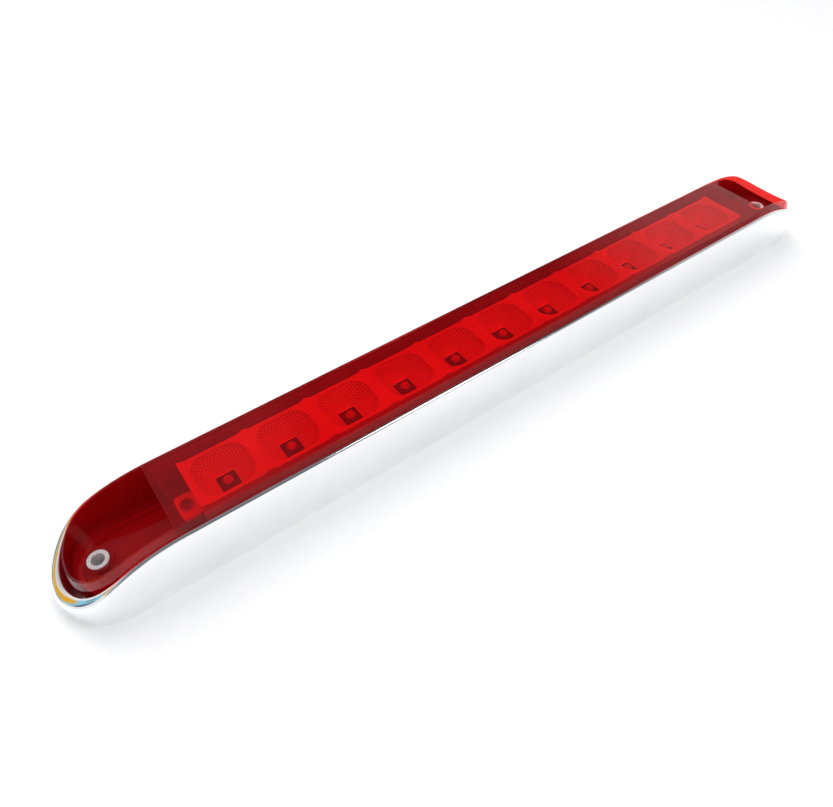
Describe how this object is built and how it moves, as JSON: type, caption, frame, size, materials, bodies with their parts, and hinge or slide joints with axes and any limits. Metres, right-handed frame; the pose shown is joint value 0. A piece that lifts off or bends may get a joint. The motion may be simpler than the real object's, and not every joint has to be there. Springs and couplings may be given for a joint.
{
  "type": "third brake light",
  "caption": "Slim surface-mount brake and tail light bar: clear red lens over a row of LED reflector cups, in a chrome-plated surround with rounded, sloping ends and screw eyelets.",
  "frame": {"origin": "middle of the mounting plane, under the centre of the bar", "axes": "+X along the bar, +Y across it, +Z out through the lens"},
  "size_m": [0.454, 0.046, 0.032],
  "materials": {
    "chrome_plating": "bright chrome plate on moulded plastic",
    "red_lens": "clear red moulded acrylic, polished",
    "housing_plastic": "moulded dark red plastic, satin",
    "bright_metallised": "vacuum metallised plastic",
    "board": "black solder mask on glass-epoxy board",
    "led_epoxy": "clear red epoxy",
    "resistor_body": "lacquered ceramic",
    "diode_body": "moulded black epoxy",
    "tinned_pin": "tinned",
    "screw_steel": "zinc plated",
    "rubber": "moulded black rubber",
    "eyelet_metal": "bright nickel plate"
  },
  "bodies": {
    "root": {"chrome_bezel": "chrome_plating", "lens": "red_lens", "rear_housing": "housing_plastic", "reflector_tray": "bright_metallised", "circuit_board": "board", "wire_terminals": "tinned_pin", "tray_screws": "screw_steel", "cable_grommet": "rubber", "eyelet_left": "eyelet_metal", "eyelet_right": "eyelet_metal", "led_01": "led_epoxy", "led_02": "led_epoxy", "led_03": "led_epoxy", "led_04": "led_epoxy", "led_05": "led_epoxy", "led_06": "led_epoxy", "led_07": "led_epoxy", "led_08": "led_epoxy", "led_09": "led_epoxy", "led_10": "led_epoxy", "led_11": "led_epoxy", "ballast_resistor_1": "resistor_body", "ballast_resistor_2": "resistor_body", "ballast_resistor_3": "resistor_body", "ballast_resistor_4": "resistor_body", "blocking_diode_1": "diode_body", "blocking_diode_2": "diode_body"}
  },
  "joints": []
}
